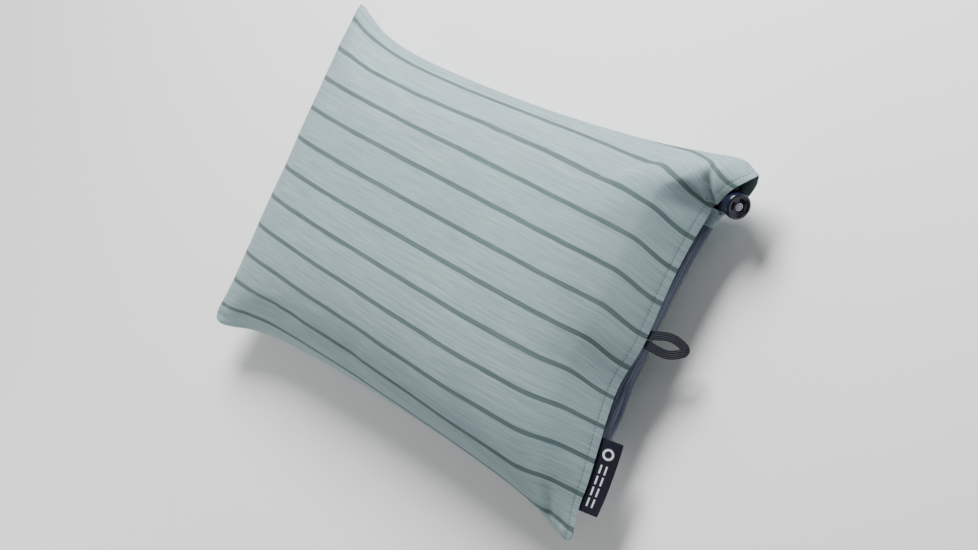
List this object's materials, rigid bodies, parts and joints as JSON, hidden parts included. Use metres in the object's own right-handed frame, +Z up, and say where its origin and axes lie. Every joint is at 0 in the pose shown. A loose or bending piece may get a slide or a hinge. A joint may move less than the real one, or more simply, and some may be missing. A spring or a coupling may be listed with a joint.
{
  "type": "camp pillow",
  "caption": "Inflatable camp pillow with a foam-topped air core in a striped knit cover, a corner twist valve under a fabric hood, a hang loop and a side label.",
  "frame": {"origin": "centre of the flat of the underside, level with the middle of the cover's length and width", "axes": "+X along the pillow to the mouth end, +Y to the valve side, +Z up out of the striped face"},
  "size_m": [0.4721, 0.3116, 0.098],
  "materials": {
    "striped_knit": "soft heather jersey, grey-green with darker stripes along the length",
    "navy_knit": "navy heather jersey",
    "satin_binding": "satin binding tape",
    "webbing": "ribbed narrow webbing",
    "label_tape": "woven label tape",
    "foam": "open-cell foam",
    "air_film": "coated airtight fabric",
    "valve_plastic": "moulded gloss plastic",
    "valve_plastic_soft": "weldable flexible plastic",
    "seal_rubber": "moulded seal rubber",
    "badge_plastic": "printed plastic disc"
  },
  "bodies": {
    "pillow": {"cover_top_panel": "striped_knit", "cover_bottom_panel": "striped_knit", "mouth_flap": "navy_knit", "flap_binding_label_side": "satin_binding", "flap_binding_valve_side": "satin_binding", "foam_pad": "foam", "air_sheet_top": "air_film", "air_sheet_bottom": "air_film", "air_baffle_1": "air_film", "air_baffle_2": "air_film", "air_baffle_3": "air_film", "air_baffle_4": "air_film", "valve_boat": "valve_plastic_soft", "valve_neck": "valve_plastic"},
    "stem": {"valve_stem": "valve_plastic", "poppet_seal": "seal_rubber", "valve_badge": "badge_plastic"},
    "knob": {"valve_knob": "valve_plastic"},
    "loop": {"hang_loop": "webbing"},
    "label": {"side_label": "label_tape"}
  },
  "joints": [
    {"name": "valve_lift", "type": "slide", "parent": "pillow", "child": "stem", "axis": [0.9511, -0.1, 0.2924], "range_m": [0, 0.0024]},
    {"name": "knob_turn", "type": "hinge", "parent": "stem", "child": "knob", "pos_m": [0.236, 0.129, 0.043], "axis": [0.9511, -0.1, 0.2924], "range_deg": [0, 120]},
    {"name": "loop_swing", "type": "hinge", "parent": "pillow", "child": "loop", "pos_m": [0.2122, 0.014, 0.0418], "axis": [-0.1736, 0.9848, 0], "range_deg": [-55, 40], "stiffness_Nm_per_rad": 0.002},
    {"name": "label_flex", "type": "hinge", "parent": "pillow", "child": "label", "pos_m": [0.2168, -0.093, 0.0418], "axis": [-0.1045, 0.9945, 0], "range_deg": [-45, 40], "stiffness_Nm_per_rad": 0.002}
  ],
  "couplings": [
    {"joint": "knob_turn", "follows": "valve_lift", "rad_per_m": 872.66}
  ]
}
